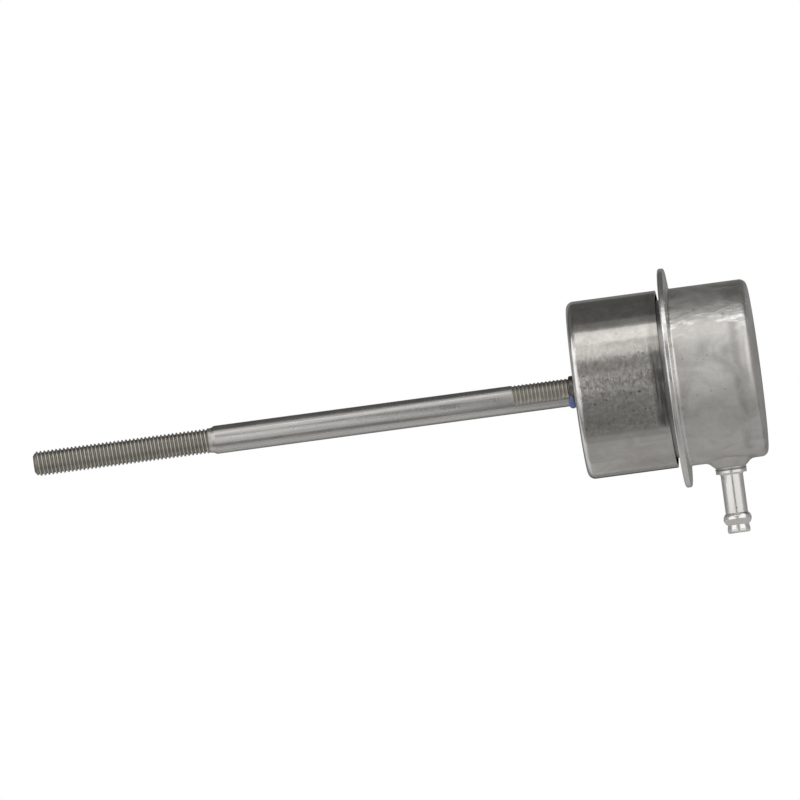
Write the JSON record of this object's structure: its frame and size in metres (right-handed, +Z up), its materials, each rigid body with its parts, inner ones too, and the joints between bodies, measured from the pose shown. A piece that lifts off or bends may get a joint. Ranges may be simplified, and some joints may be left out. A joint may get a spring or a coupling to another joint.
{
  "type": "turbo actuator",
  "caption": "Spring-return diaphragm actuator with a long threaded rod, a two-part can joined by a rolled flange, and a beaded hose nipple.",
  "frame": {"origin": "centre of the flat front face that bolts to a bracket, on the rod's axis", "axes": "+X along the rod's axis from its free end towards the pressure can, +Z up, with the hose nipple pointing along -Z"},
  "size_m": [0.2329, 0.0704, 0.0868],
  "materials": {
    "cover_steel": "drawn stainless steel, polished with fine scratches",
    "housing_steel": "drawn stainless steel, dull",
    "can_steel": "drawn stainless steel, satin",
    "nipple_plating": "bright plated",
    "braze": "brazed fillet, satin",
    "rod_steel": "drawn bar, satin",
    "bush_metal": "plain bush, satin",
    "turned_steel": "turned",
    "wiper_graphite": "graphite filled, matt",
    "pressed_steel": "zinc plated pressing",
    "spring_steel": "oiled spring wire",
    "diaphragm_rubber": "fabric-backed rubber, matt",
    "zinc_nut": "zinc plated",
    "blue_lacquer": "lacquer, glossy"
  },
  "bodies": {
    "housing": {"front_cover": "cover_steel", "spring_housing": "housing_steel", "pressure_can": "can_steel", "hose_nipple": "nipple_plating", "nipple_braze": "braze", "guide_bush": "bush_metal", "bush_holder": "turned_steel", "rod_wiper": "wiper_graphite", "wiper_retainer": "pressed_steel", "spring_seat": "pressed_steel", "return_spring": "spring_steel", "diaphragm": "diaphragm_rubber", "weld_nuts": "zinc_nut", "seal_lacquer": "blue_lacquer"},
    "rod": {"actuator_rod": "rod_steel", "backing_washer": "turned_steel", "piston_cup": "pressed_steel", "pressure_plate": "pressed_steel", "lock_washer": "turned_steel", "rod_nut": "zinc_nut", "stop_sleeve": "turned_steel"}
  },
  "joints": [
    {"name": "rod_slide", "type": "slide", "parent": "housing", "child": "rod", "axis": [-1, 0, 0], "range_m": [0, 0.014], "stiffness_N_per_m": 8000, "deforming": ["return_spring", "diaphragm"]}
  ]
}
